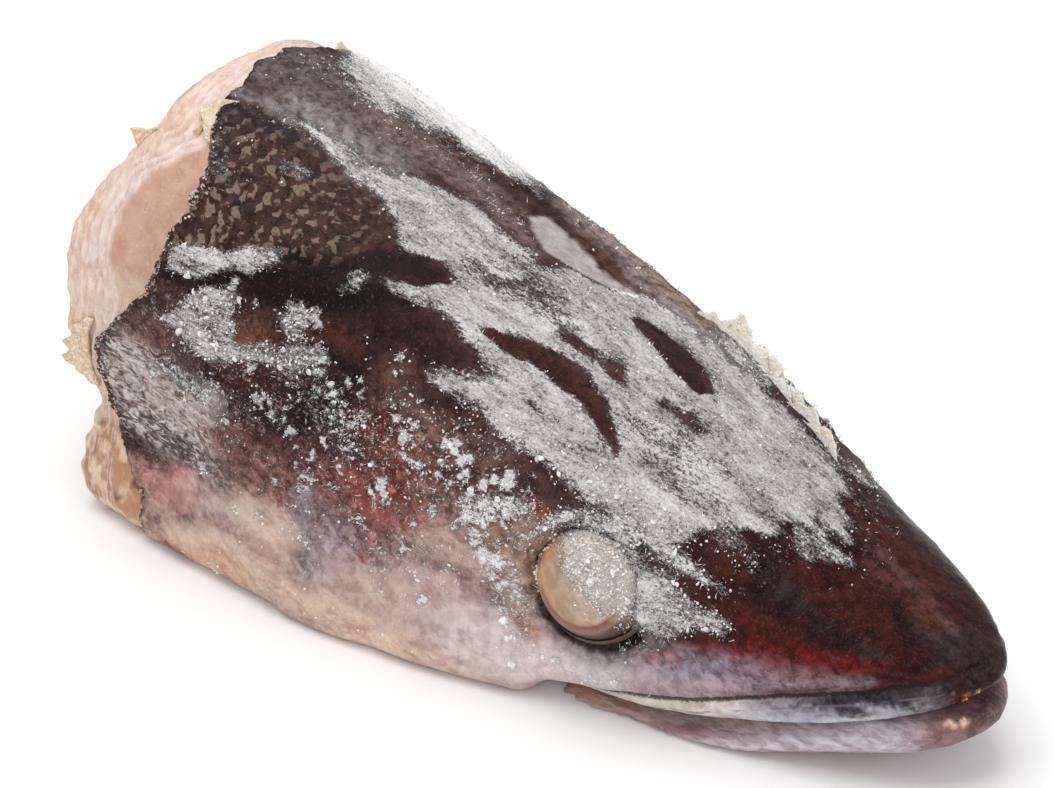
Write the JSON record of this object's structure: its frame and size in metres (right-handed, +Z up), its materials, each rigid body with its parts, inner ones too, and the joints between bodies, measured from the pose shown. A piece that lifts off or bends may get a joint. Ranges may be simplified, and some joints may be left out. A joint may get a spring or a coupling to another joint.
{
  "type": "frozen hake head",
  "caption": "Frozen hake head cut off behind the gill covers, with dark scaly skin, clouded eyes, bared nape flesh and a crust of frost, lying on its throat.",
  "frame": {"origin": "middle of the footprint box, on the table the head lies on", "axes": "+X towards the snout, +Z up, -Y the fish's right side"},
  "size_m": [0.2506, 0.109, 0.1125],
  "materials": {
    "skin": "wet dark fish skin with frost, pale flesh where it is cut",
    "jaw_skin": "smooth lilac-pink skin, semi-gloss",
    "eye": "clouded cream dome, frosted",
    "frost": "white crystalline frost and ice"
  },
  "bodies": {
    "root": {"head": "skin", "lower_jaw": "jaw_skin", "eye_right": "eye", "eye_left": "eye"}
  },
  "joints": []
}
